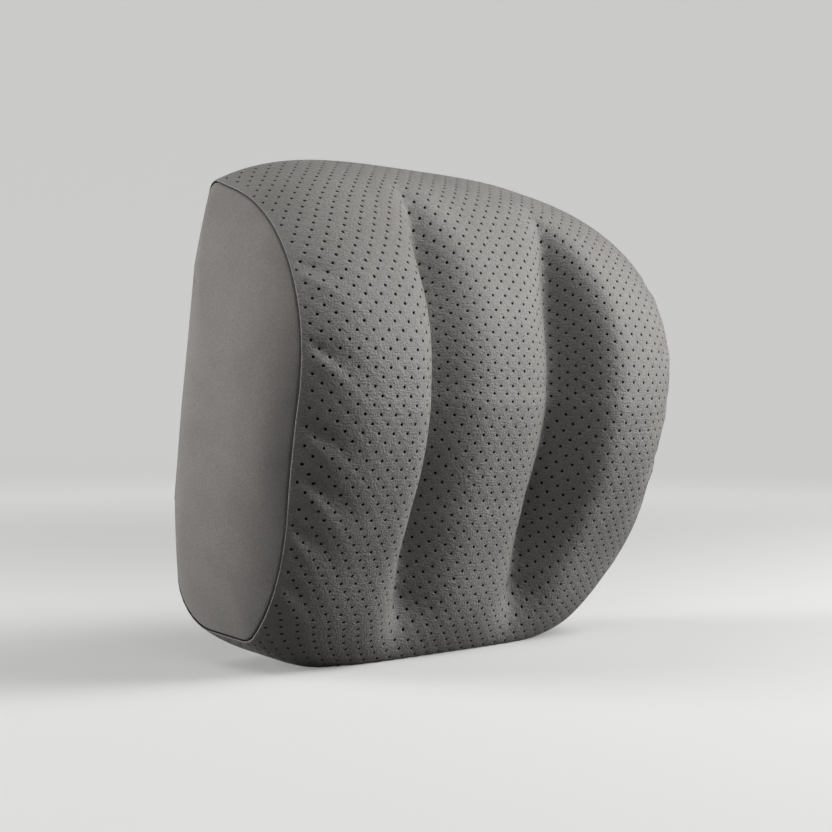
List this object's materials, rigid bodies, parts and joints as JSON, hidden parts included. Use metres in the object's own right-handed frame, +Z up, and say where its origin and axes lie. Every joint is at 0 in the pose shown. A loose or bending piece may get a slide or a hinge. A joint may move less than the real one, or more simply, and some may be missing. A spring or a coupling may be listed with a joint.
{
  "type": "car neck pillow",
  "caption": "Upright car neck pillow: foam block with a lobed perforated front, bulging suede side panels, a zipped back and an elastic headrest strap.",
  "frame": {"origin": "middle of the flat base, where the pillow stands", "axes": "+Z up, the lobed front faces -Y, the width runs along X"},
  "size_m": [0.2588, 0.1126, 0.2276],
  "materials": {
    "perforated_leather": "perforated synthetic leather, soft satin",
    "suede": "matte suede-like microfibre",
    "foam": "open-cell foam",
    "knit": "plain woven backing",
    "elastic": "woven elastic",
    "zip_tape": "woven tape",
    "nylon": "nylon coil",
    "zip_metal": "satin nickel"
  },
  "bodies": {
    "pillow": {"foam_core": "foam", "front_cover": "perforated_leather", "left_side_panel": "suede", "right_side_panel": "suede", "back_panel_lower": "knit", "back_panel_upper": "knit", "headrest_strap": "elastic", "zip_tape_lower": "zip_tape", "zip_tape_upper": "zip_tape", "zip_coil_lower": "nylon", "zip_coil_upper": "nylon", "zip_bottom_stop": "zip_metal", "zip_top_stop_lower": "zip_metal", "zip_top_stop_upper": "zip_metal"},
    "slider": {"zip_slider": "zip_metal"},
    "pull": {"zip_pull": "zip_metal"}
  },
  "joints": [
    {"name": "zip_slide", "type": "slide", "parent": "pillow", "child": "slider", "axis": [1, 0, 0], "range_m": [0, 0.1744]},
    {"name": "pull_hinge", "type": "hinge", "parent": "slider", "child": "pull", "pos_m": [-0.0872, 0.03439, 0.07466], "axis": [0, -0.1421, 0.9898], "range_deg": [0, 180]}
  ]
}
